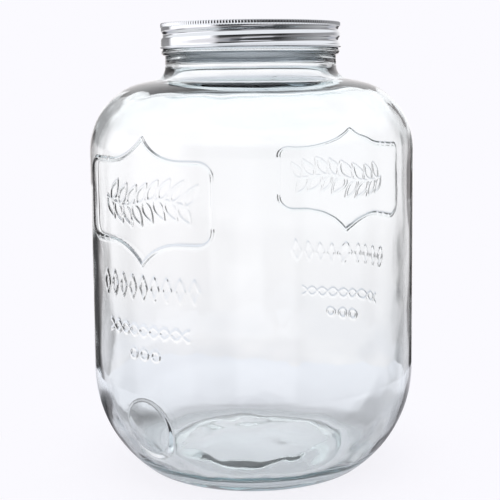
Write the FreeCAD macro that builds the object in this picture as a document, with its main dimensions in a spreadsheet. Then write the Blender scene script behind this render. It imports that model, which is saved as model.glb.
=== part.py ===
import FreeCAD
import Part
import Sketcher
import math
import os
import re

# Large glass storage jar with a screw lid, empty. Millimetres, +Z up.
# The origin is the centre of the ring that the jar stands on. The embossed frame over the tap pad faces -Y,
# and the same frame is repeated at the back.
#   jar  one piece of blown glass: stippled base with a push-up, heel, straight wall, shoulder, neck, ring, rim
#   lid  one piece of pressed sheet metal: sunk panel, skirt with a rolled thread, curled lower edge

SIZES = {
    # body of the jar, outside
    "body_radius": 107.0,
    "heel_radius": 80.7,
    "heel_turn": 52.2,
    "toe_radius": 10.5,
    "shoulder_start": 210.4,
    "shoulder_radius": 46.9,
    "shoulder_turn": 52.4,
    "crown_radius": 39.6,
    "crown_slope": 11.7,
    # neck, glass ring under the lid and rim
    "neck_radius": 56.6,
    "neck_fillet": 9.0,
    "ring_level": 274.6,
    "ring_half": 2.3,
    "ring_stand": 2.2,
    "rim_round": 1.0,
    # wall and base
    "wall": 5.5,
    "floor_level": 8.5,
    "inner_toe": 24.0,
    "bearing_radius": 58.0,
    "push_radius": 52.0,
    "push_rise": 4.5,
    "push_crown": 2.0,
    "floor_ring": 61.5,
    # embossed frame
    "relief": 0.9,
    "frame_level": 184.6,
    "frame_tip": 40.5,
    "frame_half_height": 26.0,
    "frame_right": 48.0,
    "frame_left": 58.0,
    "frame_corner": 10.0,
    "frame_sweep": 28.0,
    "frame_line": 2.6,
    # flat round pad where a tap can be drilled through
    "pad_radius": 19.0,
    "pad_level": 44.0,
    "pad_depth": 30.0,
    "pad_round": 1.5,
    "pad_wall": 5.5,
    # lid
    "lid_top": 293.7,
    "lid_height": 17.0,
    "lid_radius": 59.2,
    "lid_metal": 0.5,
    "panel_radius": 55.6,
    "panel_drop": 0.8,
    "edge_round": 0.8,
    "thread_pitch": 6.9,
    "thread_depth": 1.1,
    "groove_drop": 5.7,
    "curl_half": 0.85,
    "curl_stand": 0.8,
}

# Which way an outline bends on its way to the next corner.
LEFT = 1
RIGHT = -1

# Centres of the arcs of the jar's outside. Its inside and the frame's skin share them.
HEEL_ACROSS = "(body_radius - heel_radius)"
HEEL_UP = "(toe_radius + (heel_radius - toe_radius) * sin(heel_turn))"
SHOULDER_ACROSS = "(body_radius - shoulder_radius)"
CROWN_ACROSS = f"({SHOULDER_ACROSS} + (shoulder_radius - crown_radius) * cos(shoulder_turn))"
CROWN_UP = "(shoulder_start + (shoulder_radius - crown_radius) * sin(shoulder_turn))"
FILLET_ACROSS = "(neck_radius + neck_fillet)"
FILLET_UP = (
    f"({CROWN_UP} + (crown_radius + neck_fillet) / cos(crown_slope)"
    f" - ({FILLET_ACROSS} - {CROWN_ACROSS}) * tan(crown_slope))"
)
DOME = "((push_radius^2 + push_crown^2) / (2 * push_crown))"
RIM_TOP = "(lid_top - panel_drop - lid_metal)"

doc = FreeCAD.newDocument("GlassJar")
sheet = doc.addObject("Spreadsheet::Sheet", "Sizes")
for row, (alias, number) in enumerate(SIZES.items(), start=1):
    sheet.set(f"A{row}", alias.replace("_", " "))
    sheet.set(f"B{row}", str(number))
    sheet.setAlias(f"B{row}", alias)
doc.recompute()


def value(expression):
    """The number that an expression in the sheet's sizes works out to."""
    return float(sheet.evalExpression(expression))


def bound(expression):
    """The same expression as another object has to write it, with the sheet named before each size."""

    def named(word):
        return f"Sizes.{word[0]}" if word[0] in SIZES else word[0]

    return re.sub(r"[a-z_]+", named, expression)


def corner(name, across, up, bend=None):
    """One corner of an outline. bend is the radius and side of the arc to the next corner, or None for a line."""
    return {"name": name, "across": across, "up": up, "bend": bend}


def arc_between(start, end, radius, side):
    """The short arc from start to end, and its own start and end positions in the sketch."""
    chord = end - start
    normal = FreeCAD.Vector(-chord.y, chord.x, 0).normalize()
    rise = math.sqrt(max(radius**2 - chord.Length**2 / 4, 0))
    centre = (start + end) / 2 + normal * rise * side
    first, last = (start, end) if side == LEFT else (end, start)
    angles = [math.atan2(point.y - centre.y, point.x - centre.x) for point in (first, last)]
    circle = Part.Circle(centre, FreeCAD.Vector(0, 0, 1), radius)
    positions = (1, 2) if side == LEFT else (2, 1)
    return Part.ArcOfCircle(circle, *angles), positions


def tie(sketch, kind, name, ends, expression):
    """One dimension of a sketch, tied to the sheet."""
    index = sketch.addConstraint(Sketcher.Constraint(kind, *ends, value(expression)))
    sketch.renameConstraint(index, name)
    sketch.setExpression(f"Constraints.{name}", bound(expression))


def trace(sketch, corners):
    """Draws a closed outline through the corners and ties each corner and each bend to the sheet."""
    spots = [FreeCAD.Vector(value(spot["across"]), value(spot["up"]), 0) for spot in corners]
    stretches = []
    for spot, start, end in zip(corners, spots, spots[1:] + spots[:1]):
        if spot["bend"] is None:
            index = sketch.addGeometry(Part.LineSegment(start, end))
            stretches.append((index, 1, 2))
            continue
        radius, side = spot["bend"]
        arc, positions = arc_between(start, end, value(radius), side)
        index = sketch.addGeometry(arc)
        stretches.append((index, *positions))
        tie(sketch, "Radius", spot["name"] + "_bend", (index,), radius)
    for spot, before, after in zip(corners, stretches[-1:] + stretches[:-1], stretches):
        sketch.addConstraint(Sketcher.Constraint("Coincident", before[0], before[2], after[0], after[1]))
        for kind, way, axis in (("DistanceX", "across", -2), ("DistanceY", "up", -1)):
            if spot[way] == "0":
                sketch.addConstraint(Sketcher.Constraint("PointOnObject", after[0], after[1], axis))
            else:
                tie(sketch, kind, f"{spot['name']}_{way}", (-1, 1, after[0], after[1]), spot[way])


def sketch_in(body, name):
    """An empty sketch on the body's own XZ plane."""
    sketch = body.newObject("Sketcher::SketchObject", name)
    plane = next(item for item in body.Origin.OriginFeatures if item.Role == "XZ_Plane")
    sketch.AttachmentSupport = (plane, "")
    sketch.MapMode = "FlatFace"
    return sketch


def turned(name, corners):
    """A body turned about the jar's axis from half of its section."""
    body = doc.addObject("PartDesign::Body", name)
    sketch = sketch_in(body, name + "_section")
    trace(sketch, corners)
    turn = body.newObject("PartDesign::Revolution", name + "_turn")
    turn.Profile = sketch
    turn.ReferenceAxis = (sketch, ["V_Axis"])
    turn.Angle = 360
    return body


def wall_to_neck(shift):
    """The corners from the foot of the shoulder to the neck, on a surface that lies outside the glass by shift."""
    neck_bend = f"(neck_fillet - ({shift}))"
    return [
        corner("wall_head", f"body_radius + ({shift})", "shoulder_start", (f"shoulder_radius + ({shift})", LEFT)),
        corner(
            "shoulder_join",
            f"{SHOULDER_ACROSS} + (shoulder_radius + ({shift})) * cos(shoulder_turn)",
            f"shoulder_start + (shoulder_radius + ({shift})) * sin(shoulder_turn)",
            (f"crown_radius + ({shift})", LEFT),
        ),
        corner(
            "crown_end",
            f"{CROWN_ACROSS} + (crown_radius + ({shift})) * sin(crown_slope)",
            f"{CROWN_UP} + (crown_radius + ({shift})) * cos(crown_slope)",
        ),
        corner(
            "neck_foot",
            f"{FILLET_ACROSS} - {neck_bend} * sin(crown_slope)",
            f"{FILLET_UP} - {neck_bend} * cos(crown_slope)",
            (neck_bend, RIGHT),
        ),
        corner("neck_start", f"neck_radius + ({shift})", FILLET_UP),
    ]


def outside_of_jar():
    """Half of the section of the jar as if it were solid glass."""
    ring_bend = "(ring_half^2 + ring_stand^2) / (2 * ring_stand)"
    return [
        corner("push_centre", "0", "push_rise + push_crown", (DOME, RIGHT)),
        corner("push_edge", "push_radius", "push_rise"),
        corner("bearing_inner", "bearing_radius", "0"),
        corner(
            "bearing_outer",
            f"{HEEL_ACROSS} + (heel_radius - toe_radius) * cos(heel_turn)",
            "0",
            ("toe_radius", LEFT),
        ),
        corner(
            "toe_end",
            f"{HEEL_ACROSS} + heel_radius * cos(heel_turn)",
            f"{HEEL_UP} - heel_radius * sin(heel_turn)",
            ("heel_radius", LEFT),
        ),
        corner("wall_foot", "body_radius", HEEL_UP),
        *wall_to_neck("0"),
        corner("ring_low", "neck_radius", "ring_level - ring_half", (ring_bend, LEFT)),
        corner("ring_high", "neck_radius", "ring_level + ring_half"),
        corner("rim_outer", "neck_radius", f"{RIM_TOP} - rim_round", ("rim_round", LEFT)),
        corner("rim_flat", "neck_radius - rim_round", RIM_TOP),
        corner("rim_centre", "0", RIM_TOP),
    ]


def inside_of_jar():
    """Half of the section of the space in the jar, from the floor to just above the rim."""
    heel_bend = "(heel_radius - wall)"
    reach = f"({heel_bend} - inner_toe)"
    drop = f"({HEEL_UP} - floor_level - inner_toe)"
    run = f"sqrt({reach}^2 - {drop}^2)"
    bore = "(neck_radius - wall)"
    return [
        corner("dome_centre", "0", "floor_level + push_rise + push_crown", (DOME, RIGHT)),
        corner("dome_edge", "push_radius", "floor_level + push_rise"),
        corner("floor_inner", "floor_ring", "floor_level"),
        corner("floor_outer", f"{HEEL_ACROSS} + {run}", "floor_level", ("inner_toe", LEFT)),
        corner(
            "toe_end",
            f"{HEEL_ACROSS} + {run} * {heel_bend} / {reach}",
            f"{HEEL_UP} - {drop} * {heel_bend} / {reach}",
            (heel_bend, LEFT),
        ),
        corner("wall_foot", "body_radius - wall", HEEL_UP),
        *wall_to_neck("-wall"),
        corner("rim_inner", bore, f"{RIM_TOP} - rim_round", ("rim_round", RIGHT)),
        corner("rim_flat", f"{bore} + rim_round", RIM_TOP),
        corner("mouth_edge", f"{bore} + rim_round", "lid_top"),
        corner("mouth_centre", "0", "lid_top"),
    ]


def skin_of_frame():
    """Half of the section of a thin skin over the wall and shoulder, as thick as the frame stands out."""
    outer = wall_to_neck("relief")[:2]
    inner = wall_to_neck("-relief")[:2]
    low = "frame_level - frame_tip - frame_line"
    return [
        corner("skin_low_outer", "body_radius + relief", low),
        outer[0],
        corner("skin_top_outer", outer[1]["across"], outer[1]["up"]),
        corner("skin_top_inner", inner[1]["across"], inner[1]["up"], ("shoulder_radius - relief", RIGHT)),
        corner("skin_head_inner", "body_radius - relief", "shoulder_start"),
        corner("skin_low_inner", "body_radius - relief", low),
    ]


def frame_edge(prefix, inset):
    """One edge of the bracket-shaped frame: pointed above and below, rounded at its four corners.

    The frame reaches a little further to the left of its tips than to the right.
    """
    sweep = "((frame_sweep^2 + (frame_tip - frame_half_height)^2) / (2 * (frame_tip - frame_half_height)))"
    bend = f"({sweep} + ({inset}))"
    tip = f"(frame_half_height + {sweep} - sqrt({bend}^2 - frame_sweep^2))"
    flat = f"(frame_half_height - ({inset}))"
    rounded = f"(frame_corner - ({inset}))"
    round_up = "(frame_half_height - frame_corner)"
    edge = []
    # Clockwise from the upper tip. Two of the quarters start at a tip and two end at the next one.
    quarters = (
        ("upper_right", "", "", True),
        ("lower_right", "", "-", False),
        ("lower_left", "-", "-", True),
        ("upper_left", "-", "", False),
    )
    for name, across_sign, up_sign, from_tip in quarters:
        width = "frame_left" if across_sign else "frame_right"
        side = f"({width} - ({inset}))"
        round_across = f"({width} - frame_corner)"
        spots = [
            ("tip", "0", f"{up_sign}{tip} + frame_level", (bend, LEFT)),
            ("flat", f"{across_sign}frame_sweep", f"{up_sign}{flat} + frame_level", None),
            ("round", f"{across_sign}{round_across}", f"{up_sign}{flat} + frame_level", (rounded, RIGHT)),
            ("side", f"{across_sign}{side}", f"{up_sign}{round_up} + frame_level", None),
        ]
        if not from_tip:
            # Walked towards the tip, a spot takes the bend that led to it. The tip is the next quarter's first.
            inward = spots[::-1]
            spots = [(*spot[:3], nearer[3]) for spot, nearer in zip(inward[:-1], inward[1:])]
        edge += [corner(f"{prefix}_{name}_{spot[0]}", *spot[1:]) for spot in spots]
    return edge


def lid_skirt(inset):
    """The corners of the lid's side from its top edge to the last groove, on a surface set in by inset."""
    wave = "(((thread_pitch / 2)^2 + thread_depth^2) / (4 * thread_depth))"
    share = f"(({wave} - ({inset})) / (2 * {wave}))"
    across = f"lid_radius - {wave} + (2 * {wave} - thread_depth) * {share}"
    crest_bend = (f"{wave} - ({inset})", RIGHT)
    groove_bend = (f"{wave} + ({inset})", LEFT)
    first = "(lid_top - groove_drop)"
    rise = f"(thread_pitch / 2 * (1 - {share}))"
    return [
        corner("ring_out", "lid_radius - edge_round", f"lid_top - ({inset})", (f"edge_round - ({inset})", RIGHT)),
        corner("edge", f"lid_radius - ({inset})", "lid_top - edge_round"),
        corner("crest", f"lid_radius - ({inset})", f"{first} + thread_pitch / 2", crest_bend),
        corner("upper_groove_in", across, f"{first} + {rise}", groove_bend),
        corner("upper_groove_out", across, f"{first} - {rise}", crest_bend),
        corner("lower_groove_in", across, f"{first} - thread_pitch + {rise}", groove_bend),
        corner("lower_groove_out", across, f"{first} - thread_pitch - {rise}"),
    ]


def reversed_walk(corners, prefix):
    """The same corners walked the other way, so that each bend turns to the other side."""
    walk = []
    for index in range(len(corners) - 1, -1, -1):
        bend = corners[index - 1]["bend"] if index else None
        if bend is not None:
            bend = (bend[0], -bend[1])
        walk.append(corner(prefix + corners[index]["name"], corners[index]["across"], corners[index]["up"], bend))
    return walk


def section_of_lid():
    """Half of the section of the lid's sheet: the outside from the centre down to the curl, then the inside."""
    slope_shift = "lid_metal * tan(22.5)"
    curl_low = "lid_top - lid_height"
    curl_high = "lid_top - lid_height + 2 * curl_half"
    curl_bend = ("(curl_half^2 + curl_stand^2) / (2 * curl_stand)", RIGHT)
    return [
        corner("panel_centre", "0", "lid_top - panel_drop"),
        corner("panel_edge", "panel_radius", "lid_top - panel_drop"),
        corner("ring_in", "panel_radius + panel_drop", "lid_top"),
        *lid_skirt("0"),
        corner("curl_high", "lid_radius", curl_high, curl_bend),
        corner("curl_low", "lid_radius", curl_low),
        corner("under_curl_low", "lid_radius - lid_metal", curl_low),
        corner("under_curl_high", "lid_radius - lid_metal", curl_high),
        *reversed_walk(lid_skirt("lid_metal"), "under_"),
        corner("under_ring_in", f"panel_radius + panel_drop + {slope_shift}", "lid_top - lid_metal"),
        corner("under_panel_edge", f"panel_radius + {slope_shift}", RIM_TOP),
        corner("under_panel_centre", "0", RIM_TOP),
    ]


def tap_disc(name, radius, depth_of_face, length):
    """A round bar along Y at the pad's height. Its outer face lies depth_of_face behind the embossing."""
    disc = doc.addObject("Part::Cylinder", name)
    disc.setExpression("Radius", bound(radius))
    disc.setExpression("Height", bound(length))
    disc.Placement.Rotation = FreeCAD.Rotation(FreeCAD.Vector(1, 0, 0), 90)
    disc.setExpression("Placement.Base.y", bound(f"-(body_radius + relief - {depth_of_face} - {length})"))
    disc.setExpression("Placement.Base.z", bound("pad_level"))
    return disc


def joined(kind, name, shapes):
    """A boolean of several shapes."""
    result = doc.addObject(kind, name)
    result.Shapes = shapes
    return result


# Jar: solid glass and its embossing, less the space inside.
glass = turned("glass", outside_of_jar())
cavity = turned("cavity", inside_of_jar())
skin = turned("frame_skin", skin_of_frame())

frame_body = doc.addObject("PartDesign::Body", "frame_bar")
frame_sketch = sketch_in(frame_body, "frame_outline")
trace(frame_sketch, frame_edge("outer", "0"))
trace(frame_sketch, frame_edge("inner", "frame_line"))
frame_pad = frame_body.newObject("PartDesign::Pad", "frame_length")
frame_pad.Profile = frame_sketch
frame_pad.setExpression("Length", bound("body_radius + 2 * relief"))
doc.recompute()
both_sides = frame_body.newObject("PartDesign::PolarPattern", "front_and_back")
both_sides.Originals = [frame_pad]
both_sides.Axis = (frame_sketch, ["V_Axis"])
both_sides.Angle = 360
both_sides.Occurrences = 2
frame_body.Tip = both_sides
frames = joined("Part::MultiCommon", "frames", [skin, frame_body])

pad_bar = tap_disc("pad_bar", "pad_radius", "0", "pad_depth")
doc.recompute()
face_edges = [
    index
    for index, edge in enumerate(pad_bar.Shape.Edges, start=1)
    if edge.Closed and edge.CenterOfMass.y < -value("body_radius")
]
pad = doc.addObject("Part::Fillet", "pad")
pad.Base = pad_bar
pad.Edges = [(index, value("pad_round"), value("pad_round")) for index in face_edges]
recess = tap_disc("pad_recess", "(pad_radius - wall)", "pad_wall", "pad_depth")

jar = doc.addObject("Part::Cut", "jar_solid")
jar.Base = joined("Part::MultiFuse", "glass_and_relief", [glass, frames, pad])
jar.Tool = joined("Part::MultiFuse", "space_inside", [cavity, recess])
jar.Label = "jar"

# Lid: one sheet, turned about the same axis. It rests on the rim.
lid = turned("lid", section_of_lid())

doc.recompute()

for item in doc.Objects:
    if "Invalid" in item.State or "Error" in item.State:
        raise RuntimeError(f"{item.Name} did not compute: {item.State}")

os.makedirs("parts", exist_ok=True)
for piece in (jar, lid):
    shape = piece.Shape
    if shape.isNull() or not shape.isValid() or len(shape.Solids) != 1:
        raise RuntimeError(f"{piece.Label} is not one valid solid")
    shape.exportStep(f"parts/{piece.Label}.step")
    print(piece.Label, "volume", round(shape.Volume), "mm3, box", shape.BoundBox)
print("capacity to the rim, litres", round(cavity.Shape.Volume / 1e6, 2))
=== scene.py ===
import math

import bpy
import numpy as np
from mathutils import Matrix, Vector


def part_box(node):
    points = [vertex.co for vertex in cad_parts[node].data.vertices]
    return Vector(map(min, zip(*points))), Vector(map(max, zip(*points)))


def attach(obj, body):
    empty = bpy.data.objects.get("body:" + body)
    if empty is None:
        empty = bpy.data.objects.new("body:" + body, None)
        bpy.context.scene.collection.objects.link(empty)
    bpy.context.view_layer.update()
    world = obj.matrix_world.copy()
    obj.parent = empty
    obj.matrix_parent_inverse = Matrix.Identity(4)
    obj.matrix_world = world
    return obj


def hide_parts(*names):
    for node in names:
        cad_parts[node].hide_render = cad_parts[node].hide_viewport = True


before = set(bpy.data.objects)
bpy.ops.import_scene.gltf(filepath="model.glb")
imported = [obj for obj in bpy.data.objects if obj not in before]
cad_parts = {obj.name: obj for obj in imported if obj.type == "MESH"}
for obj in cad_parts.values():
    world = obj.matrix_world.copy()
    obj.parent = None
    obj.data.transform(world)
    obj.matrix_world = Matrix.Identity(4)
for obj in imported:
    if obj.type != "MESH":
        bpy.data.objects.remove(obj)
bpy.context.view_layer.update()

# ---------------------------------------------------------------------------------------------------------
# Jar: one piece of clear soda-lime glass, blown in a two-part iron mould. The gather of glass is pressed to a
# rim and neck, then blown out to the mould, so the outside is smooth and crisp and the inside runs uneven,
# thickest at the shoulder, heel and base. The mould also cuts the embossed frames and the round tap pad.
# ---------------------------------------------------------------------------------------------------------
MM = 0.001
_, jar_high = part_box("jar")
BODY = jar_high[0] / MM
RIM_TOP = jar_high[2] / MM
WALL = 5.5
HEEL_RADIUS = 80.7
HEEL_TURN = 52.2
TOE_RADIUS = 10.5
INNER_TOE = 24.0
FLOOR = 8.5
SHOULDER_START = 210.4
SHOULDER_RADIUS = 46.9
SHOULDER_TURN = 52.4
CROWN_RADIUS = 39.6
CROWN_SLOPE = 11.7
NECK = 56.6
NECK_FILLET = 9.0
RING_LEVEL = 274.6
RING_HALF = 2.3
RING_STAND = 2.2
RIM_ROUND = 1.0
PUSH_RADIUS = 52.0
PUSH_RISE = 4.5
PUSH_CROWN = 2.0
BEARING = 58.0
FLOOR_RING = 61.5
COLUMNS = 180


def toward(centre, distance, angle):
    """The place at a distance from a centre, at an angle in degrees up from level."""
    turn = math.radians(angle)
    return (centre[0] + distance * math.cos(turn), centre[1] + distance * math.sin(turn))


def arc(centre, radius, start, end, steps):
    """Places along an arc, in millimetres, from one angle to the other in so many steps."""
    return [toward(centre, radius, start + (end - start) * step / steps) for step in range(steps + 1)]


def line(start, end, steps):
    """Places along a straight stretch in so many steps, without its two ends."""
    return [tuple(a + (b - a) * step / steps for a, b in zip(start, end)) for step in range(1, steps)]


HEEL = (BODY - HEEL_RADIUS, TOE_RADIUS + (HEEL_RADIUS - TOE_RADIUS) * math.sin(math.radians(HEEL_TURN)))
TOE = toward(HEEL, HEEL_RADIUS - TOE_RADIUS, -HEEL_TURN)
SHOULDER = (BODY - SHOULDER_RADIUS, SHOULDER_START)
CROWN = toward(SHOULDER, SHOULDER_RADIUS - CROWN_RADIUS, SHOULDER_TURN)
slope = math.radians(CROWN_SLOPE)
FILLET = (
    NECK + NECK_FILLET,
    CROWN[1]
    + (CROWN_RADIUS + NECK_FILLET) / math.cos(slope)
    - (NECK + NECK_FILLET - CROWN[0]) * math.tan(slope),
)


def wall_to_neck(shift):
    """The stretch from the foot of the wall up to the neck, on a surface outside the glass by shift."""
    shoulder = arc(SHOULDER, SHOULDER_RADIUS + shift, 0, SHOULDER_TURN, 14)
    crown = arc(CROWN, CROWN_RADIUS + shift, SHOULDER_TURN, 90 - CROWN_SLOPE, 7)
    fillet = arc(FILLET, NECK_FILLET - shift, -90 - CROWN_SLOPE, -180, 8)
    foot = (BODY + shift, HEEL[1])
    return line(foot, shoulder[0], 28) + shoulder + crown[1:] + line(crown[-1], fillet[0], 4) + fillet


dome_radius = (PUSH_RADIUS**2 + PUSH_CROWN**2) / (2 * PUSH_CROWN)
dome_turn = math.degrees(math.asin(PUSH_RADIUS / dome_radius))
ring_radius = (RING_HALF**2 + RING_STAND**2) / (2 * RING_STAND)
ring_turn = math.degrees(math.asin(RING_HALF / ring_radius))
ring_centre = (NECK + RING_STAND - ring_radius, RING_LEVEL)
rim_low = RIM_TOP - RIM_ROUND

# The outside runs from the centre of the base to the rim, and the inside from the centre of the floor.
outside = arc((0, PUSH_RISE + PUSH_CROWN - dome_radius), dome_radius, 90, 90 - dome_turn, 8)
outside += line((PUSH_RADIUS, PUSH_RISE), (BEARING, 0), 3) + [(BEARING, 0)]
outside += line((BEARING, 0), (TOE[0], 0), 3)
outside += arc(TOE, TOE_RADIUS, -90, -HEEL_TURN, 5) + arc(HEEL, HEEL_RADIUS, -HEEL_TURN, 0, 22)[1:]
outside += wall_to_neck(0)
outside += arc(ring_centre, ring_radius, -ring_turn, ring_turn, 10)
outside += line((NECK, RING_LEVEL + RING_HALF), (NECK, rim_low), 4)
outside += arc((NECK - RIM_ROUND, rim_low), RIM_ROUND, 0, 90, 4)

bore = NECK - WALL
inner_heel = HEEL_RADIUS - WALL
reach = inner_heel - INNER_TOE
drop = HEEL[1] - FLOOR - INNER_TOE
inner_turn = math.degrees(math.asin(drop / reach))
inner_toe = toward(HEEL, reach, -inner_turn)
inside = arc((0, FLOOR + PUSH_RISE + PUSH_CROWN - dome_radius), dome_radius, 90, 90 - dome_turn, 14)
inside += line((PUSH_RADIUS, FLOOR + PUSH_RISE), (FLOOR_RING, FLOOR), 5) + [(FLOOR_RING, FLOOR)]
inside += line((FLOOR_RING, FLOOR), (inner_toe[0], FLOOR), 2)
inside += arc(inner_toe, INNER_TOE, -90, -inner_turn, 8) + arc(HEEL, inner_heel, -inner_turn, 0, 20)[1:]
inside += wall_to_neck(-WALL)
inside += line((bore, FILLET[1]), (bore, rim_low), 8)
inside += arc((bore + RIM_ROUND, rim_low), RIM_ROUND, 180, 90, 4)


def new_mesh(name):
    """A new object in edit mode with a single corner at the origin, and nothing else selected."""
    bpy.ops.object.select_all(action="DESELECT")
    bpy.ops.mesh.primitive_plane_add(size=MM, location=(0, 0, 0))
    piece = bpy.context.object
    piece.name = name
    piece.data.name = name
    bpy.ops.object.mode_set(mode="EDIT")
    bpy.ops.mesh.select_all(action="SELECT")
    bpy.ops.mesh.merge(type="CENTER")
    return piece


def draw(places):
    """Draws a section in the XZ plane from the selected corner at the origin, through places in mm."""
    bpy.ops.transform.translate(value=(places[0][0] * MM, 0, places[0][1] * MM))
    for before, after in zip(places, places[1:]):
        step = ((after[0] - before[0]) * MM, 0, (after[1] - before[1]) * MM)
        bpy.ops.mesh.extrude_region_move(TRANSFORM_OT_translate={"value": step})


def turn_and_close(columns):
    """Spins the drawn section once round the jar's axis, closes its seam and poles and points it outwards."""
    bpy.ops.mesh.select_all(action="SELECT")
    bpy.ops.mesh.spin(steps=columns, angle=math.tau, center=(0, 0, 0), axis=(0, 0, 1))
    bpy.ops.mesh.select_all(action="SELECT")
    bpy.ops.mesh.remove_doubles(threshold=0.01 * MM)
    bpy.ops.mesh.normals_make_consistent(inside=False)
    bpy.ops.object.mode_set(mode="OBJECT")


jar = new_mesh("glass_jar")
draw(outside + inside[::-1])
turn_and_close(COLUMNS)


def places_of(piece):
    """The piece's corners as an array in millimetres."""
    places = np.empty(len(piece.data.vertices) * 3)
    piece.data.vertices.foreach_get("co", places)
    return places.reshape(-1, 3) / MM


def move_to(piece, places):
    """Puts the piece's corners at places in millimetres."""
    piece.data.vertices.foreach_set("co", (places * MM).ravel())
    piece.data.update()


def smooth(value, low, high):
    """0 up to low, 1 from high, and a smooth step between."""
    share = np.clip((value - low) / (high - low), 0, 1)
    return share * share * (3 - 2 * share)


def true_radius(level):
    """The radius of the straight wall and lower shoulder outside, at a height in millimetres."""
    rise = np.clip(level - SHOULDER_START, 0, SHOULDER_RADIUS)
    return SHOULDER[0] + np.sqrt(SHOULDER_RADIUS**2 - rise**2)


def is_outside(places):
    """Which places are on the outer skin of the wall, heel and lower shoulder."""
    radius = np.hypot(places[:, 0], places[:, 1])
    level = places[:, 2]
    heel = HEEL[0] + np.sqrt(np.clip(HEEL_RADIUS**2 - (level - HEEL[1]) ** 2, 0, None))
    outer = np.where(level < HEEL[1], heel, true_radius(level))
    return radius > outer - WALL / 2


def refine(piece, wanted, cuts):
    """Subdivides the faces whose corners are all wanted."""
    bpy.ops.object.mode_set(mode="EDIT")
    bpy.ops.mesh.select_all(action="DESELECT")
    bpy.ops.mesh.select_mode(type="FACE")
    bpy.ops.object.mode_set(mode="OBJECT")
    picked = [all(wanted[corner] for corner in face.vertices) for face in piece.data.polygons]
    piece.data.polygons.foreach_set("select", picked)
    bpy.ops.object.mode_set(mode="EDIT")
    bpy.ops.mesh.subdivide(number_cuts=cuts, smoothness=0)
    bpy.ops.mesh.select_mode(type="VERT")
    bpy.ops.object.mode_set(mode="OBJECT")


# Labels. Each is a window on the wall, in millimetres to the right of its tips and up. The front one faces
# -Y, and the back one is the same turned half round, with its rows a little lower. The frame reaches further
# to the left of its tips than to the right.
FRAME_LEVEL = 184.6
FRAME_TIP = 40.5
FRAME_HALF_HEIGHT = 26.0
FRAME_RIGHT = 48.0
FRAME_LEFT = 58.0
FRAME_CORNER = 10.0
FRAME_SWEEP = 28.0
FRAME_LINE = 2.6
LABEL_MARGIN = 4.0
LABEL_LOW = 76.0
LABEL_HIGH = FRAME_LEVEL + FRAME_TIP + 3


def label_places(places):
    """Which outside places are in the front or back label's window."""
    across = places[:, 0] * -np.sign(places[:, 1])
    window = (across > -FRAME_LEFT - LABEL_MARGIN) & (across < FRAME_RIGHT + LABEL_MARGIN)
    window &= (places[:, 2] > LABEL_LOW) & (places[:, 2] < LABEL_HIGH)
    return window & (np.abs(places[:, 1]) > BODY / 2) & is_outside(places)


def settle(places, chosen):
    """Moves the chosen places out to the true surface, which new corners on flat faces fall short of."""
    radius = np.hypot(places[:, 0], places[:, 1])
    scale = np.where(chosen, true_radius(places[:, 2]) / radius, 1)
    places[:, :2] *= scale[:, None]


refine(jar, label_places(places_of(jar)), 3)
places = places_of(jar)
settle(places, label_places(places))
move_to(jar, places)


def leaf(across, level, length, width, angle):
    """The outline of a pointed leaf from its foot, in millimetres on the label."""
    way = Vector((math.cos(math.radians(angle)), math.sin(math.radians(angle))))
    side = Vector((-way.y, way.x))
    foot = Vector((across, level))
    edge = []
    for step in range(21):
        along = step / 10 if step <= 10 else 2 - step / 10
        bulge = width / 2 * math.sin(math.pi * along**0.8) * (1 if step <= 10 else -1)
        edge.append(tuple(foot + way * along * length + side * bulge))
    return edge


def frame_outline():
    """The middle line of the bracket frame: pointed above and below, rounded at its four corners."""
    inset = FRAME_LINE / 2
    rise = FRAME_TIP - FRAME_HALF_HEIGHT
    sweep_radius = (FRAME_SWEEP**2 + rise**2) / (2 * rise)
    centre = (FRAME_SWEEP, FRAME_HALF_HEIGHT + sweep_radius)
    reach = sweep_radius + inset
    tip_turn = math.degrees(math.acos(FRAME_SWEEP / reach))
    halves = []
    for width in (FRAME_RIGHT, FRAME_LEFT):
        corner_centre = (width - FRAME_CORNER, FRAME_HALF_HEIGHT - FRAME_CORNER)
        quarter = arc(centre, reach, -180 + tip_turn, -90, 12)
        quarter += line(quarter[-1], (corner_centre[0], FRAME_HALF_HEIGHT - inset), 3)
        quarter += arc(corner_centre, FRAME_CORNER - inset, 90, 0, 6)
        halves.append(quarter + [(across, -level) for across, level in quarter[::-1]])
    whole = halves[0] + [(-across, level) for across, level in halves[1][::-1]]
    return [(across, level + FRAME_LEVEL) for across, level in whole]


# Ornament, in millimetres and degrees. The rows are the heights of the lozenges, the plait and the rings.
STEM_HALF = 34
LEAVES = 16
LEAF_LENGTH = 14.5
LEAF_WIDTH = 6.2
LEAF_TURN = 58
ROW_PITCH = 9
ROW_HALF = 36
LOZENGE_HALF_WIDTH = 3
LOZENGE_HALF_HEIGHT = 7
PLAIT_HALF = 32
PLAIT_LAPS = 4
PLAIT_SWING = 3
ROW_RING_RADIUS = 3
FRONT_ROWS = (132.5, 106, 91.5)
BACK_ROWS = (129, 98, 83.5)


def stem_level(across):
    """The height of the branch's waving stem on the label."""
    return FRAME_LEVEL + 2.5 * math.sin(across / 9)


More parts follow.
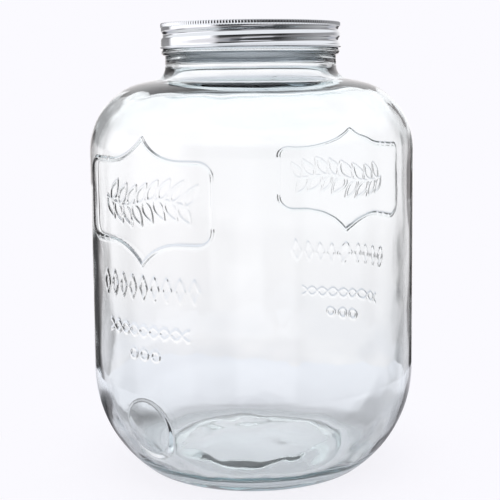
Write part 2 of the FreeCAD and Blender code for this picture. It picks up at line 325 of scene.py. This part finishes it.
def ornament(rows):
    """The embossed lines: a leafy branch in the frame, then rows of lozenges, of a plait and of rings."""
    lozenge_level, plait_level, ring_level = rows
    lines = [[(across, stem_level(across)) for across in np.linspace(-STEM_HALF, STEM_HALF, 40)]]
    for number, across in enumerate(np.linspace(1 - STEM_HALF, STEM_HALF - 3, LEAVES)):
        side = 1 if number % 2 else -1
        lines.append(leaf(across, stem_level(across), LEAF_LENGTH, LEAF_WIDTH, side * LEAF_TURN))
    for across in range(-ROW_HALF, ROW_HALF + 1, ROW_PITCH):
        foot = (across, lozenge_level - LOZENGE_HALF_HEIGHT)
        right = (across + LOZENGE_HALF_WIDTH, lozenge_level)
        tip = (across, lozenge_level + LOZENGE_HALF_HEIGHT)
        left = (across - LOZENGE_HALF_WIDTH, lozenge_level)
        lines.append([foot, right, tip, left, foot])
    for swing in (-PLAIT_SWING, PLAIT_SWING):
        lines.append([
            (across, plait_level + swing * math.cos(across / (2 * PLAIT_HALF) * math.tau * PLAIT_LAPS))
            for across in np.linspace(-PLAIT_HALF, PLAIT_HALF, 100)
        ])
    for across in (-ROW_PITCH, 0, ROW_PITCH):
        lines.append([toward((across, ring_level), ROW_RING_RADIUS, step * 30) for step in range(13)])
    return lines


def guide(name, front, back):
    """A mesh of bare edges on the front and back of the wall, which the embossing follows."""
    corners, edges = [], []
    for side, lines in ((-1, front), (1, back)):
        for places in lines:
            first = len(corners)
            for across, level in places:
                deep = math.sqrt(float(true_radius(np.array(level))) ** 2 - across**2)
                corners.append((-side * across * MM, side * deep * MM, level * MM))
            edges += [(first + step, first + step + 1) for step in range(len(places) - 1)]
    mesh = bpy.data.meshes.new(name)
    mesh.from_pydata(corners, edges, [])
    piece = bpy.data.objects.new(name, mesh)
    bpy.context.collection.objects.link(piece)
    return piece


def near(places, target, distance):
    """Which places are within a distance of the target's corners, in millimetres."""
    close = np.zeros(len(places), dtype=bool)
    for mark in places_of(target):
        close |= np.abs(places - mark).max(axis=1) < distance
    return close


CREST_HALF = 0.15


def emboss(piece, target, half_width, height):
    """Raises the piece's skin by height along the target's edges, and by nothing from half_width away."""
    places = places_of(piece)
    chosen = np.flatnonzero(label_places(places))
    piece.vertex_groups.new(name="relief").add(chosen.tolist(), 0.0, "REPLACE")
    weigh = piece.modifiers.new("weigh", "VERTEX_WEIGHT_PROXIMITY")
    weigh.vertex_group = "relief"
    weigh.target = target
    weigh.proximity_mode = "GEOMETRY"
    weigh.proximity_geometry = {"EDGE"}
    weigh.min_dist = half_width * MM
    weigh.max_dist = CREST_HALF * MM
    weigh.falloff_type = "SMOOTH"
    raise_up = piece.modifiers.new("raise", "DISPLACE")
    raise_up.vertex_group = "relief"
    raise_up.direction = "NORMAL"
    raise_up.mid_level = 0
    raise_up.strength = height * MM
    bpy.context.view_layer.objects.active = piece
    for modifier in (weigh, raise_up):
        bpy.ops.object.modifier_apply(modifier=modifier.name)
    piece.vertex_groups.remove(piece.vertex_groups["relief"])


# The ornament is lower and finer than the frame. The faces near either are made finer to carry it.
FRAME_RELIEF = 0.855
FRAME_LINE_HALF = 1.45
FRAME_FINE = 2.3
ORNAMENT_RELIEF = 0.45
ORNAMENT_LINE_HALF = 1.1
ORNAMENT_FINE = 2.0

frame_guide = guide("frame_guide", [frame_outline()], [frame_outline()])
ornament_guide = guide("ornament_guide", ornament(FRONT_ROWS), ornament(BACK_ROWS))
places = places_of(jar)
fine = near(places, frame_guide, FRAME_FINE) | near(places, ornament_guide, ORNAMENT_FINE)
refine(jar, fine & label_places(places), 1)
places = places_of(jar)
settle(places, label_places(places))
move_to(jar, places)
emboss(jar, frame_guide, FRAME_LINE_HALF, FRAME_RELIEF)
emboss(jar, ornament_guide, ORNAMENT_LINE_HALF, ORNAMENT_RELIEF)
bpy.data.objects.remove(frame_guide)
bpy.data.objects.remove(ornament_guide)

# Tap pad. The skin is raised into a round disc, a little flatter than the heel, so that it stands out most at
# its foot, where its edge is also softer. It stands PAD_STAND out where the skin is PAD_FACE in front of the
# axis, and more by PAD_FLATNESS for each millimetre further in. The inside of the wall runs on behind it.
PAD_RADIUS = 17.5
PAD_LEVEL = 45.5
PAD_FACE = BODY - 2.5
PAD_STAND = 1.2
PAD_FLATNESS = 0.25
PAD_EDGE = 1.2
PAD_SOFT_FOOT = 5


def from_pad_axis(places):
    """The distance of each place from the pad's level axis, and far for the ones behind the jar's axis."""
    distance = np.hypot(places[:, 0], places[:, 2] - PAD_LEVEL)
    return np.where(places[:, 1] < 0, distance, 10 * PAD_RADIUS)


# Finer faces all round the pad's edge, and finer still on the edge.
for middle, band in ((PAD_RADIUS, 6), (PAD_RADIUS + 0.5, 2.5)):
    places = places_of(jar)
    refine(jar, (np.abs(from_pad_axis(places) - middle) < band) & is_outside(places), 2)
places = places_of(jar)
distance = from_pad_axis(places)
below = np.clip((PAD_LEVEL - places[:, 2]) / np.maximum(distance, 1), 0, 1)
edge = PAD_EDGE + PAD_SOFT_FOOT * below**2
share = 1 - smooth((distance - PAD_RADIUS) / edge, -PAD_EDGE / edge, 1)
share = np.where(is_outside(places), share, 0)
places[:, 1] -= share * (PAD_STAND + PAD_FLATNESS * (PAD_FACE + places[:, 1]))
move_to(jar, places)


def swell(piece, weights, height, grain=None, flatness=1.0):
    """Moves the skin out by height times each corner's weight: evenly, or in soft lumps of a grain in mm."""
    group = piece.vertex_groups.new(name="swell")
    for corner in np.flatnonzero(weights > 0.001).tolist():
        group.add([corner], float(weights[corner]), "REPLACE")
    wave = piece.modifiers.new("swell", "DISPLACE")
    wave.vertex_group = "swell"
    wave.mid_level = 0
    wave.strength = height * MM
    if grain:
        lie = bpy.data.objects.new("lie_of_lumps", None)
        lie.scale = (1, 1, flatness)
        bpy.context.collection.objects.link(lie)
        wave.texture = bpy.data.textures.new("lumps", "CLOUDS")
        wave.texture.noise_scale = grain * MM
        wave.texture.noise_depth = 1
        wave.texture_coords = "OBJECT"
        wave.texture_coords_object = lie
        wave.mid_level = 0.5
    bpy.context.view_layer.objects.active = piece
    bpy.context.view_layer.update()
    bpy.ops.object.modifier_apply(modifier=wave.name)
    piece.vertex_groups.remove(piece.vertex_groups["swell"])
    if grain:
        bpy.data.objects.remove(lie)


HOLLOW_MIDDLE = (0, 0, 130)


def is_inside(piece, places):
    """Which places are on the skin that faces the hollow of the jar."""
    facing = np.empty(len(places) * 3)
    piece.data.vertex_normals.foreach_get("vector", facing)
    return (facing.reshape(-1, 3) * (np.array(HOLLOW_MIDDLE) - places)).sum(axis=1) > 0


# Glass runs thicker towards the shoulder, most of all on the side where the gather hung, and towards the foot
# of the neck. The lumps are soft on the wall and shorter at the heel, base and shoulder, which set last, and
# none of the short ones is behind the tap pad. Lumps are given by their whole depth and their grain, and the
# thick side in degrees round from +X.
THICK_SIDE = -37.0
THICK_HALF_WIDTH = 54
SIDE_THICKNESS = 5.2
NECK_THICKNESS = 2.6
WALL_LUMPS = (1.6, 30)
BASE_LUMPS = (0.5, 8)
SHOULDER_LUMPS = (0.4, 14)
LUMP_FLATNESS = 0.35

places = places_of(jar)
radius = np.hypot(places[:, 0], places[:, 1])
level = places[:, 2]
inner = is_inside(jar, places) & (level > FLOOR - 1) & (level < RING_LEVEL - 8)
from_side = np.degrees(np.arctan2(places[:, 1], places[:, 0])) - THICK_SIDE
from_side = np.abs((from_side + 180) % 360 - 180)
side = 0.5 + 0.5 * np.cos(np.pi * np.clip(from_side / THICK_HALF_WIDTH, 0, 1))
up_wall = 0.3 * smooth(level, 50, 120) + 0.7 * np.clip((level - 70) / 170, 0, 1)
swell(jar, np.where(inner, side * up_wall * (1 - smooth(level, 232, 262)), 0), SIDE_THICKNESS)
neck_foot = (1 - smooth(radius, 57, 84)) * smooth(level, 215, 240) * (1 - smooth(level, 250, 266))
swell(jar, np.where(inner, neck_foot, 0), NECK_THICKNESS)
low = 1 - smooth(level, 30, 80)
swell(jar, np.where(inner, 0.35 + 0.65 * low, 0), *WALL_LUMPS)
off_pad = smooth(from_pad_axis(places), 16, 26)
swell(jar, np.where(inner, low * smooth(radius, 38, 50) * off_pad, 0), *BASE_LUMPS)
shoulder = smooth(level, 222, 236) * (1 - smooth(level, 250, 258))
swell(jar, np.where(inner, shoulder, 0), *SHOULDER_LUMPS, LUMP_FLATNESS)


def shade_smooth(piece):
    """Shades the whole piece smooth."""
    bpy.ops.object.select_all(action="DESELECT")
    piece.select_set(True)
    bpy.context.view_layer.objects.active = piece
    bpy.ops.object.shade_smooth()


shade_smooth(jar)


def linear(colour):
    """A hex colour as Blender's linear red, green, blue and alpha."""
    parts = [int(colour[start:start + 2], 16) / 255 for start in (1, 3, 5)]
    return [part / 12.92 if part <= 0.04045 else ((part + 0.055) / 1.055) ** 2.4 for part in parts] + [1]


def node(tree, kind, settings=None, inputs=None):
    """Adds a node, sets its own settings, and sets or links its inputs by name."""
    added = tree.nodes.new("ShaderNode" + kind)
    for name, value in (settings or {}).items():
        setattr(added, name, value)
    for name, value in (inputs or {}).items():
        if isinstance(value, bpy.types.NodeSocket):
            tree.links.new(value, added.inputs[name])
        else:
            added.inputs[name].default_value = value
    return added


def new_material(name):
    """An empty node material and its tree."""
    material = bpy.data.materials.new(name)
    material.use_nodes = True
    material.node_tree.nodes.clear()
    return material, material.node_tree


# Soda-lime glass, blown: clear and fully polished by the fire, with soft ripples that bend what lies behind
# it, and a faint teal that only shows where light travels a long way in it, as at the edges and the base.
RIPPLE_LENGTH = 12 * MM
HAZE_LENGTH = 40 * MM

glass, tree = new_material("blown_soda_lime_glass")
where = node(tree, "TexCoord").outputs["Object"]
ripple = node(tree, "TexNoise", inputs={
    "Vector": where, "Scale": 1 / RIPPLE_LENGTH, "Detail": 1.0,
}).outputs["Fac"]
bump = node(tree, "Bump", inputs={"Height": ripple, "Strength": 0.15, "Distance": 0.2 * MM}).outputs["Normal"]
haze = node(tree, "TexNoise", inputs={
    "Vector": where, "Scale": 1 / HAZE_LENGTH, "Detail": 3.0,
}).outputs["Fac"]
haze = node(tree, "MapRange", inputs={"Value": haze, "To Min": 0.0, "To Max": 0.03}).outputs["Result"]
# The underside is stippled and scuffed, which scatters the light that the base would otherwise trap.
height = node(tree, "SeparateXYZ", inputs={0: where}).outputs["Z"]
clearness = node(tree, "MapRange", inputs={
    "Value": height, "From Min": 4.0 * MM, "From Max": 7.0 * MM, "To Min": 0.7, "To Max": 1.0,
}).outputs["Result"]
shader = node(tree, "BsdfPrincipled", inputs={
    "Base Color": linear("#FFFFFF"),
    "Roughness": haze,
    "IOR": 1.52,
    "Transmission Weight": clearness,
    "Normal": bump,
})
tint = node(tree, "VolumeAbsorption", inputs={"Color": linear("#93D3DC"), "Density": 9.0})
node(tree, "OutputMaterial", inputs={"Surface": shader.outputs[0], "Volume": tint.outputs[0]})
jar.data.materials.append(glass)

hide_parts("jar")
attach(jar, "root")

# ---------------------------------------------------------------------------------------------------------
# Lid: a screw lid pressed from bright tinplate. The panel is sunk, the top edge is milled for grip, the skirt
# is rolled with a screw thread, and the cut edge at the foot is curled outwards.
# ---------------------------------------------------------------------------------------------------------
lid_low, lid_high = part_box("lid")
LID_TOP = lid_high[2] / MM
LID_FOOT = lid_low[2] / MM
LID = 59.2
TINPLATE = 0.5
PANEL = 55.6
PANEL_DROP = 0.8
EDGE_ROUND = 0.8
KNURLS = 190
KNURL_LOW = 2.9
KNURL_DEPTH = 0.6
THREAD_DROP = 5.7
THREAD_PITCH = 6.9
THREAD_HALF = 2.7
THREAD_DEPTH = 1.1
THREAD_START = (3.6, 5.0)
THREAD_END = (12.6, 14.6)
CURL_HALF = 0.85
CURL_STAND = 0.8

curl_radius = (CURL_HALF**2 + CURL_STAND**2) / (2 * CURL_STAND)
curl_turn = math.degrees(math.asin(CURL_HALF / curl_radius))
curl_centre = (LID + CURL_STAND - curl_radius, LID_FOOT + CURL_HALF)
edge_low = LID_TOP - EDGE_ROUND
curl_high = LID_FOOT + 2 * CURL_HALF

# The section runs from the panel's centre over its softened step and the edge to the foot, and back under.
top = [(0, LID_TOP - PANEL_DROP)] + line((0, LID_TOP - PANEL_DROP), (PANEL, LID_TOP - PANEL_DROP), 6)
top += [(PANEL - 0.4, LID_TOP - PANEL_DROP), (PANEL, LID_TOP - PANEL_DROP + 0.15)]
top += [(PANEL + PANEL_DROP - 0.2, LID_TOP - 0.12), (PANEL + PANEL_DROP + 0.3, LID_TOP)]
top += arc((LID - EDGE_ROUND, edge_low), EDGE_ROUND, 90, 0, 5)
top += line((LID, edge_low), (LID, curl_high), 34)
top += arc(curl_centre, curl_radius, curl_turn, -curl_turn, 8)
under = [(LID - TINPLATE, LID_FOOT)] + line((LID - TINPLATE, LID_FOOT), (LID - TINPLATE, edge_low), 34)
under += arc((LID - EDGE_ROUND, edge_low), EDGE_ROUND - TINPLATE, 0, 90, 3)
under += [(PANEL + PANEL_DROP + 0.2, LID_TOP - TINPLATE), (PANEL + 0.2, LID_TOP - PANEL_DROP - TINPLATE)]
under += [(0, LID_TOP - PANEL_DROP - TINPLATE)]

lid = new_mesh("tinplate_lid")
draw(top + under)
turn_and_close(KNURLS * 4)

# The edge is milled in its outer face alone. The thread is rolled in from outside, and the inside follows it.
# It runs about one and a third times round. It fades in over THREAD_START and out over THREAD_END, which are
# given in millimetres below the lid's top, as every height on the skirt is.
places = places_of(lid)
radius = np.hypot(places[:, 0], places[:, 1])
angle = np.arctan2(places[:, 1], places[:, 0])
below = LID_TOP - places[:, 2]
on_side = radius > LID - TINPLATE - 0.2
milled = smooth(below, 0.1, 0.7) * (1 - smooth(below, KNURL_LOW - 0.5, KNURL_LOW)) * on_side
press = milled * KNURL_DEPTH * (0.5 - 0.5 * np.cos(angle * KNURLS)) * (radius > LID - TINPLATE / 2)
turns = (angle + math.pi) / math.tau
start = THREAD_DROP + THREAD_PITCH / 2
thread = np.zeros(len(places))
for lap in (0, 1):
    centre = start + (lap - turns) * THREAD_PITCH
    room = smooth(centre, *THREAD_START) * (1 - smooth(centre, *THREAD_END))
    gap = np.abs(below - centre) / THREAD_HALF
    thread = np.maximum(thread, room * (0.5 + 0.5 * np.cos(math.pi * np.clip(gap, 0, 1))))
press += thread * THREAD_DEPTH * on_side * (below > 1.2) * (below < LID_TOP - curl_high)
places[:, :2] *= ((radius - press) / np.maximum(radius, 1e-6))[:, None]
move_to(lid, places)
shade_smooth(lid)

# Tinplate, cold rolled and flow brightened: a near mirror with a slightly soft reflection, whose softness
# drifts a little over the sheet, and faint hoop scratches from the seaming rollers.
GRAIN_LENGTH = 10 * MM
SATIN_EDGE = 1.0

tinplate, tree = new_material("bright_tinplate")
where = node(tree, "TexCoord").outputs["Object"]
stretched = node(tree, "Mapping", inputs={"Vector": where, "Scale": (1, 1, 12)}).outputs["Vector"]
grain = node(tree, "TexNoise", inputs={
    "Vector": stretched, "Scale": 1 / GRAIN_LENGTH, "Detail": 4.0,
}).outputs["Fac"]
softness = node(tree, "MapRange", inputs={"Value": grain, "To Min": 0.04, "To Max": 0.12}).outputs["Result"]
# The panel keeps the satin of the press, and only the edge and the rolled skirt are bright.
flattened = node(tree, "VectorMath", {"operation": "MULTIPLY"}, {0: where, 1: (1, 1, 0)}).outputs["Vector"]
across = node(tree, "VectorMath", {"operation": "LENGTH"}, {0: flattened}).outputs["Value"]
satin = node(tree, "MapRange", inputs={
    "Value": across,
    "From Min": (PANEL - SATIN_EDGE) * MM,
    "From Max": PANEL * MM,
    "To Min": 0.42,
    "To Max": 0.0,
}).outputs["Result"]
softness = node(tree, "Math", {"operation": "MAXIMUM"}, {0: softness, 1: satin}).outputs[0]
bump = node(tree, "Bump", inputs={"Height": grain, "Strength": 0.1, "Distance": 0.05 * MM}).outputs["Normal"]
shader = node(tree, "BsdfPrincipled", inputs={
    "Base Color": linear("#D6D9DD"),
    "Metallic": 1.0,
    "Roughness": softness,
    "Normal": bump,
})
node(tree, "OutputMaterial", inputs={"Surface": shader.outputs[0]})
lid.data.materials.append(tinplate)

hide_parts("lid")
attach(lid, "root")

# ---------------------------------------------------------------------------------------------------------
# Studio: a white table and a white backdrop, with dark flags beside the backdrop. The flags draw the edges of
# the clear glass, and a dark room in front draws the bands on the bright lid. The glass and the lid see the
# table as painted shade.
# ---------------------------------------------------------------------------------------------------------
BACKDROP = linear("#FBFAFF")
TABLE_RADIUS = 0.3

bpy.ops.object.select_all(action="DESELECT")
bpy.ops.mesh.primitive_circle_add(vertices=128, radius=TABLE_RADIUS, fill_type="NGON", location=(0, 0, 0))
floor = bpy.context.object
floor.name = "table"


def ramp(tree, value, stops, low=-180, high=180):
    """A grey ramp. Each stop is a place between low and high, such as a turn in degrees, and a strength."""
    share = node(tree, "MapRange", inputs={"Value": value, "From Min": low, "From Max": high})
    added = node(tree, "ValToRGB", inputs={"Fac": share.outputs["Result"]})
    elements = added.color_ramp.elements
    while len(elements) < len(stops):
        elements.new(1.0)
    for element, (place, strength) in zip(elements, stops):
        element.position = (place - low) / (high - low)
        element.color = (strength, strength, strength, 1)
    return added.outputs["Color"]


def turn_of(tree, parts):
    """The turn in degrees of a place or direction about the jar's axis: 0 is straight back, 90 is -X."""
    across = node(tree, "Math", {"operation": "MULTIPLY"}, {0: parts.outputs["X"], 1: -1.0}).outputs[0]
    turn = node(tree, "Math", {"operation": "ARCTAN2"}, {0: across, 1: parts.outputs["Y"]}).outputs[0]
    return node(tree, "Math", {"operation": "DEGREES"}, {0: turn}).outputs[0]


MIX = {"data_type": "RGBA"}
TIMES = {"data_type": "RGBA", "blend_type": "MULTIPLY"}

# The table is white to the eye, with the jar's soft shadow. What the glass and the lid show of it is painted
# shade: a glow painted as the table in the jar's own shade, with a painted shadow deep under the heel and
# painted shade deeper still where the flags stand.
PAINTED_TABLE_SHADE = linear("#E6E6ED")
table, tree = new_material("white_table_painted_shade")
where = node(tree, "TexCoord").outputs["Object"]
distance = node(tree, "VectorMath", {"operation": "LENGTH"}, {0: where}).outputs["Value"]
fade = node(tree, "MapRange", {"interpolation_type": "SMOOTHSTEP"}, {
    "Value": distance, "From Min": 0.08, "From Max": 0.19, "To Min": 0.15, "To Max": 0.0,
}).outputs["Result"]
parts = node(tree, "SeparateXYZ", inputs={0: where})
# Painted shadow: the glow is darker in a ring under the heel, by distance from the jar's axis.
under = ramp(tree, distance, [
    (0.0, 0.8), (0.06, 0.83), (0.085, 0.66), (0.105, 0.7), (0.125, 0.95), (0.16, 1.05), (0.22, 1.13),
    (TABLE_RADIUS, 1.18),
], 0, TABLE_RADIUS)
# Painted shade: dark sectors of the glow where the flags would shade the table, faded in between 0.07 and 0.1
# m out and faded out again between 0.17 and 0.24 m.
painted_flag_shade = ramp(tree, turn_of(tree, parts), [
    (-180, 1), (-60, 1), (-45, 0.6), (-10, 0.6), (2, 1), (84, 1), (94, 0.12), (108, 0.12), (116, 0.8),
    (140, 1), (180, 1),
])
beyond = node(tree, "MapRange", {"interpolation_type": "SMOOTHSTEP"}, {
    "Value": distance, "From Min": 0.17, "From Max": 0.24,
}).outputs["Result"]
painted_flag_shade = node(tree, "Mix", MIX, {0: beyond, 6: painted_flag_shade, 7: (1, 1, 1, 1)}).outputs[2]
outer = node(tree, "MapRange", {"interpolation_type": "SMOOTHSTEP"}, {
    "Value": distance, "From Min": 0.07, "From Max": 0.1,
}).outputs["Result"]
painted_flag_shade = node(tree, "Mix", MIX, {0: outer, 6: (1, 1, 1, 1), 7: painted_flag_shade}).outputs[2]
painted_shade = node(tree, "Mix", TIMES, {0: 1.0, 6: under, 7: painted_flag_shade}).outputs[2]
painted_shade = node(tree, "Mix", TIMES, {0: 1.0, 6: painted_shade, 7: PAINTED_TABLE_SHADE}).outputs[2]
seen = node(tree, "LightPath").outputs["Is Camera Ray"]
matt = node(tree, "BsdfDiffuse", inputs={"Color": BACKDROP})
glow = node(tree, "Emission", inputs={"Color": BACKDROP, "Strength": 1.0})
lit = node(tree, "MixShader", inputs={0: fade, 1: glow.outputs[0], 2: matt.outputs[0]})
# Every ray but the camera's sees this painted shade glowing in place of the lit table.
painted_shade_glow = node(tree, "Emission", inputs={"Color": painted_shade, "Strength": 1.0})
either = node(tree, "MixShader", inputs={0: seen, 1: painted_shade_glow.outputs[0], 2: lit.outputs[0]})
node(tree, "OutputMaterial", inputs={"Surface": either.outputs[0]})
floor.data.materials.append(table)

world = bpy.data.worlds.new("studio")
bpy.context.scene.world = world
world.use_nodes = True
tree = world.node_tree
tree.nodes.clear()
parts = node(tree, "SeparateXYZ", inputs={0: node(tree, "TexCoord").outputs["Generated"]})
turn = turn_of(tree, parts)


def blend(tree, low, high, lower, upper):
    """The lower colour up to an elevation low in degrees, the upper one from high, a soft step between."""
    share = node(tree, "MapRange", {"interpolation_type": "SMOOTHSTEP"}, {
        "Value": parts.outputs["Z"],
        "From Min": math.sin(math.radians(low)),
        "From Max": math.sin(math.radians(high)),
    }).outputs["Result"]
    return node(tree, "Mix", MIX, {0: share, 6: lower, 7: upper}).outputs[2]


# Directions from 23 to 7 degrees below level: white behind what is looked through, and flags between.
low_ring = ramp(tree, turn, [
    (-180, 0.6), (-168, 0.5), (-165, 0.3), (-155, 0.3), (-150, 1), (-114, 1), (-110, 0.3), (-70, 0.3),
    (-40, 0.5), (-30, 0.3), (-19, 0.3), (-12, 0.8), (7, 0.75), (11, 0.1), (20, 0.1), (24, 1), (54, 1),
    (58, 0.15), (66, 0.05), (73, 0.05), (76, 0.25), (80, 0.85), (106, 0.95), (112, 0.5), (124, 0.5),
    (130, 1), (172, 1), (180, 0.6),
])
# Directions from there up to level: the same flags in a lighter grey, and darker in front.
level_ring = ramp(tree, turn, [
    (-180, 0.3), (-152, 0.4), (-146, 0.6), (-118, 0.6), (-105, 0.3), (-60, 0.35), (-32, 0.6), (-25, 0.5),
    (-14, 0.8), (7, 0.75), (11, 0.15), (20, 0.15), (24, 1.06), (56, 1.06), (62, 0.65), (75, 0.65), (79, 1.0),
    (106, 1.0), (114, 0.75), (124, 0.75), (130, 1.06), (172, 1.06), (180, 0.3),
])
# Directions above level, and those steeper down than 23 degrees. The lid mirrors them: a softbox on its left,
# the dark room in front, grey on its right.
high_ring = ramp(tree, turn, [
    (-180, 0.04), (-165, 0.02), (-100, 0.03), (-80, 0.2), (-55, 0.4), (-10, 0.45), (10, 0.9), (20, 1),
    (54, 1), (58, 0.3), (92, 0.3), (100, 1.6), (165, 1.6), (178, 0.1), (180, 0.04),
])
deep_ring = ramp(tree, turn, [
    (-180, 0.1), (-165, 0.05), (-95, 0.06), (-70, 0.3), (-20, 0.6), (10, 0.85), (95, 0.85), (105, 1.0),
    (165, 1.0), (178, 0.15), (180, 0.1),
])
# In the same directions the glass shows a paler room than the one that the lid mirrors.
through = node(tree, "LightPath").outputs["Is Transmission Ray"]
pale_ring = ramp(tree, turn, [
    (-180, 0.4), (-100, 0.4), (-80, 0.45), (-55, 0.5), (-10, 0.55), (10, 0.9), (20, 1.06), (54, 1.06),
    (58, 0.45), (92, 0.45), (100, 1.3), (165, 1.3), (178, 0.45), (180, 0.4),
])
high_ring = node(tree, "Mix", MIX, {0: through, 6: high_ring, 7: pale_ring}).outputs[2]
pale_deep = ramp(tree, turn, [(-180, 0.5), (-100, 0.5), (-70, 0.8), (165, 0.9), (180, 0.5)])
pale_deep = node(tree, "Mix", TIMES, {0: 1.0, 6: pale_deep, 7: linear("#E4ECF0")}).outputs[2]
deep_ring = node(tree, "Mix", MIX, {0: through, 6: deep_ring, 7: pale_deep}).outputs[2]

# The white falls off to a cool grey towards the table, and the ceiling is a little over white.
white = blend(tree, -20, -8, linear("#E2E3EB"), (1.07, 1.03, 1.045, 1))
room = blend(tree, -8, -6.5, low_ring, level_ring)
room = node(tree, "Mix", TIMES, {0: 1.0, 6: room, 7: white}).outputs[2]
room = blend(tree, -26, -20, deep_ring, room)
upper = node(tree, "Mix", TIMES, {0: 1.0, 6: high_ring, 7: (1.05, 1.03, 1.045, 1)}).outputs[2]
room = blend(tree, -1, 2, room, upper)
room = blend(tree, 13, 24, room, (1.2, 1.2, 1.22, 1))
seen = node(tree, "LightPath").outputs["Is Camera Ray"]
shown = node(tree, "Mix", MIX, {0: seen, 6: room, 7: BACKDROP}).outputs[2]
light = node(tree, "Background", inputs={"Color": shown, "Strength": 1.0})
node(tree, "OutputWorld", inputs={"Surface": light.outputs[0]})

# ---------------------------------------------------------------------------------------------------------
# Camera: a little above the shoulder, to the right of the label, tilted slightly down. Distances are in
# metres and angles in degrees. The lens and its sensor are in millimetres.
# ---------------------------------------------------------------------------------------------------------
CAMERA_TURN = 38.3
CAMERA_DISTANCE = 0.7677
CAMERA_HEIGHT = 0.2610
CAMERA_PITCH = 6.69
CAMERA_YAW = 0.1
CAMERA_ROLL = -0.57
CAMERA_LENS = 82.8
CAMERA_SENSOR = 36
CAMERA_RISE = -0.0846
LIGHT_BOUNCES = 64

camera_data = bpy.data.cameras.new("camera")
camera_data.lens = CAMERA_LENS
camera_data.sensor_width = CAMERA_SENSOR
camera_data.shift_y = CAMERA_RISE
camera = bpy.data.objects.new("camera", camera_data)
bpy.context.collection.objects.link(camera)
heading = math.radians(CAMERA_TURN)
aim = Matrix.Rotation(math.radians(CAMERA_TURN + CAMERA_YAW), 4, "Z")
aim @= Matrix.Rotation(math.radians(90 - CAMERA_PITCH), 4, "X")
aim @= Matrix.Rotation(math.radians(CAMERA_ROLL), 4, "Z")
camera.location = (CAMERA_DISTANCE * math.sin(heading), -CAMERA_DISTANCE * math.cos(heading), CAMERA_HEIGHT)
camera.rotation_euler = aim.to_euler()
scene = bpy.context.scene
scene.camera = camera
scene.view_settings.view_transform = "Standard"
# Light crosses many walls of glass, and goes to and fro in the base for longer still.
scene.cycles.max_bounces = LIGHT_BOUNCES
scene.cycles.transmission_bounces = LIGHT_BOUNCES
